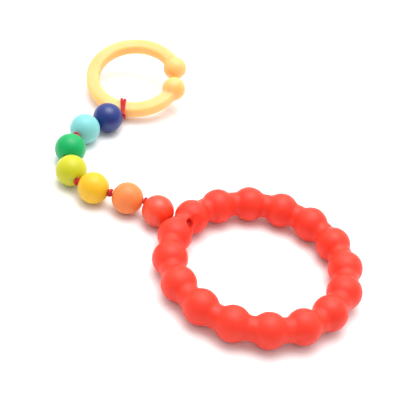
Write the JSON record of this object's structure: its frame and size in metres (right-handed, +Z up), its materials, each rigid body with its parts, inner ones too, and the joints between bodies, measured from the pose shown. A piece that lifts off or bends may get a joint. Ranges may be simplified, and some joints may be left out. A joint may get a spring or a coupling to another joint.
{
  "type": "teething ring",
  "caption": "Beaded teething ring with a chain of loose round beads on a knotted cord, ending in a split clip-on link",
  "frame": {"origin": "centre of the beaded ring, on the surface that it lies on", "axes": "+Z up, the bead chain leaves the ring towards -X and +Y"},
  "size_m": [0.1526, 0.1899, 0.0222],
  "materials": {
    "ring_silicone": "satin moulded silicone",
    "red_silicone": "satin moulded silicone",
    "orange_silicone": "satin moulded silicone",
    "yellow_silicone": "satin moulded silicone",
    "lime_silicone": "satin moulded silicone",
    "green_silicone": "satin moulded silicone",
    "aqua_silicone": "satin moulded silicone",
    "navy_silicone": "satin moulded silicone",
    "cord_nylon": "braided nylon cord",
    "link_plastic": "translucent moulded plastic"
  },
  "bodies": {
    "ring": {"teether_ring": "ring_silicone", "ring_tie": "cord_nylon"},
    "pivot_1": {"knot_1": "cord_nylon"},
    "run_1": {"cord_1": "cord_nylon"},
    "red_bead": {"red_bead": "red_silicone"},
    "pivot_2": {"knot_2": "cord_nylon"},
    "run_2": {"cord_2": "cord_nylon"},
    "orange_bead": {"orange_bead": "orange_silicone"},
    "pivot_3": {"knot_3": "cord_nylon"},
    "run_3": {"cord_3": "cord_nylon"},
    "yellow_bead": {"yellow_bead": "yellow_silicone"},
    "pivot_4": {"knot_4": "cord_nylon"},
    "run_4": {"cord_4": "cord_nylon"},
    "lime_bead": {"lime_bead": "lime_silicone"},
    "pivot_5": {"knot_5": "cord_nylon"},
    "run_5": {"cord_5": "cord_nylon"},
    "green_bead": {"green_bead": "green_silicone"},
    "pivot_6": {"knot_6": "cord_nylon"},
    "run_6": {"cord_6": "cord_nylon"},
    "aqua_bead": {"aqua_bead": "aqua_silicone"},
    "pivot_7": {"knot_7": "cord_nylon"},
    "run_7": {"cord_7": "cord_nylon"},
    "navy_bead": {"navy_bead": "navy_silicone"},
    "pivot_8": {"knot_8": "cord_nylon"},
    "loop": {"link_loop": "cord_nylon"},
    "link": {"link_arm_fixed": "link_plastic"},
    "link_spring_side": {"link_arm_sprung": "link_plastic"}
  },
  "joints": [
    {"name": "bend_1", "type": "hinge", "parent": "ring", "child": "pivot_1", "pos_m": [-0.04247, 0.01716, 0.0075], "axis": [0, 0, 1], "range_deg": [0, 24]},
    {"name": "lift_1", "type": "hinge", "parent": "pivot_1", "child": "run_1", "pos_m": [-0.04247, 0.01716, 0.0075], "axis": [0.5592, 0.829, 0], "range_deg": [-18, 18]},
    {"name": "red_spin", "type": "hinge", "parent": "run_1", "child": "red_bead", "pos_m": [-0.04935, 0.0218, 0.0075], "axis": [-0.829, 0.5592, 0], "continuous": true},
    {"name": "bend_2", "type": "hinge", "parent": "run_1", "child": "pivot_2", "pos_m": [-0.05623, 0.02644, 0.0075], "axis": [0, 0, -1], "range_deg": [-8, 76]},
    {"name": "lift_2", "type": "hinge", "parent": "pivot_2", "child": "run_2", "pos_m": [-0.05623, 0.02644, 0.0075], "axis": [0, -1, 0], "range_deg": [-18, 18]},
    {"name": "orange_spin", "type": "hinge", "parent": "run_2", "child": "orange_bead", "pos_m": [-0.06453, 0.02644, 0.0075], "axis": [-1, 0, 0], "continuous": true},
    {"name": "bend_3", "type": "hinge", "parent": "run_2", "child": "pivot_3", "pos_m": [-0.07303, 0.02644, 0.0075], "axis": [0, 0, 1], "range_deg": [-26, 58]},
    {"name": "lift_3", "type": "hinge", "parent": "pivot_3", "child": "run_3", "pos_m": [-0.07303, 0.02644, 0.0075], "axis": [0.2756, 0.9613, 0], "range_deg": [-18, 18]},
    {"name": "yellow_spin", "type": "hinge", "parent": "run_3", "child": "yellow_bead", "pos_m": [-0.0812, 0.02878, 0.0075], "axis": [-0.9613, 0.2756, 0], "continuous": true},
    {"name": "bend_4", "type": "hinge", "parent": "run_3", "child": "pivot_4", "pos_m": [-0.08918, 0.03107, 0.0075], "axis": [0, 0, -1], "range_deg": [-82, 2]},
    {"name": "lift_4", "type": "hinge", "parent": "pivot_4", "child": "run_4", "pos_m": [-0.08918, 0.03107, 0.0075], "axis": [-0.829, -0.5592, 0], "range_deg": [-18, 18]},
    {"name": "lime_spin", "type": "hinge", "parent": "run_4", "child": "lime_bead", "pos_m": [-0.09382, 0.03795, 0.0075], "axis": [-0.5592, 0.829, 0], "continuous": true},
    {"name": "bend_5", "type": "hinge", "parent": "run_4", "child": "pivot_5", "pos_m": [-0.09868, 0.04516, 0.0075], "axis": [0, 0, 1], "range_deg": [-2, 82]},
    {"name": "lift_5", "type": "hinge", "parent": "pivot_5", "child": "run_5", "pos_m": [-0.09868, 0.04516, 0.0075], "axis": [0.9945, -0.1045, 0], "range_deg": [-18, 18]},
    {"name": "green_spin", "type": "hinge", "parent": "run_5", "child": "green_bead", "pos_m": [-0.09777, 0.05382, 0.0075], "axis": [0.1045, 0.9945, 0], "continuous": true},
    {"name": "bend_6", "type": "hinge", "parent": "run_5", "child": "pivot_6", "pos_m": [-0.09683, 0.06277, 0.0075], "axis": [0, 0, -1], "range_deg": [-52, 32]},
    {"name": "lift_6", "type": "hinge", "parent": "pivot_6", "child": "run_6", "pos_m": [-0.09683, 0.06277, 0.0075], "axis": [-0.9613, 0.2756, 0], "range_deg": [-18, 18]},
    {"name": "aqua_spin", "type": "hinge", "parent": "run_6", "child": "aqua_bead", "pos_m": [-0.09435, 0.07142, 0.0075], "axis": [0.2756, 0.9613, 0], "continuous": true},
    {"name": "bend_7", "type": "hinge", "parent": "run_6", "child": "pivot_7", "pos_m": [-0.09206, 0.0794, 0.0075], "axis": [0, 0, 1], "range_deg": [-2, 82]},
    {"name": "lift_7", "type": "hinge", "parent": "pivot_7", "child": "run_7", "pos_m": [-0.09206, 0.0794, 0.0075], "axis": [0.5592, -0.829, 0], "range_deg": [-18, 18]},
    {"name": "navy_spin", "type": "hinge", "parent": "run_7", "child": "navy_bead", "pos_m": [-0.08518, 0.08404, 0.0075], "axis": [0.829, 0.5592, 0], "continuous": true},
    {"name": "bend_8", "type": "hinge", "parent": "run_7", "child": "pivot_8", "pos_m": [-0.0783, 0.08868, 0.0075], "axis": [0, 0, -1], "range_deg": [-6, 114]},
    {"name": "lift_8", "type": "hinge", "parent": "pivot_8", "child": "loop", "pos_m": [-0.0783, 0.08868, 0.0075], "axis": [0.9994, -0.0349, 0], "range_deg": [-40, 40]},
    {"name": "link_slide_round", "type": "hinge", "parent": "loop", "child": "link", "pos_m": [-0.07771, 0.11773, 0.01147], "axis": [0.1099, 0.2551, -0.9606], "range_deg": [-211, 49]},
    {"name": "link_flex", "type": "hinge", "parent": "link", "child": "link_spring_side", "pos_m": [-0.10263, 0.11519, 0.00795], "axis": [-0.1099, -0.2551, 0.9606], "range_deg": [0, 10], "stiffness_Nm_per_rad": 0.4}
  ]
}
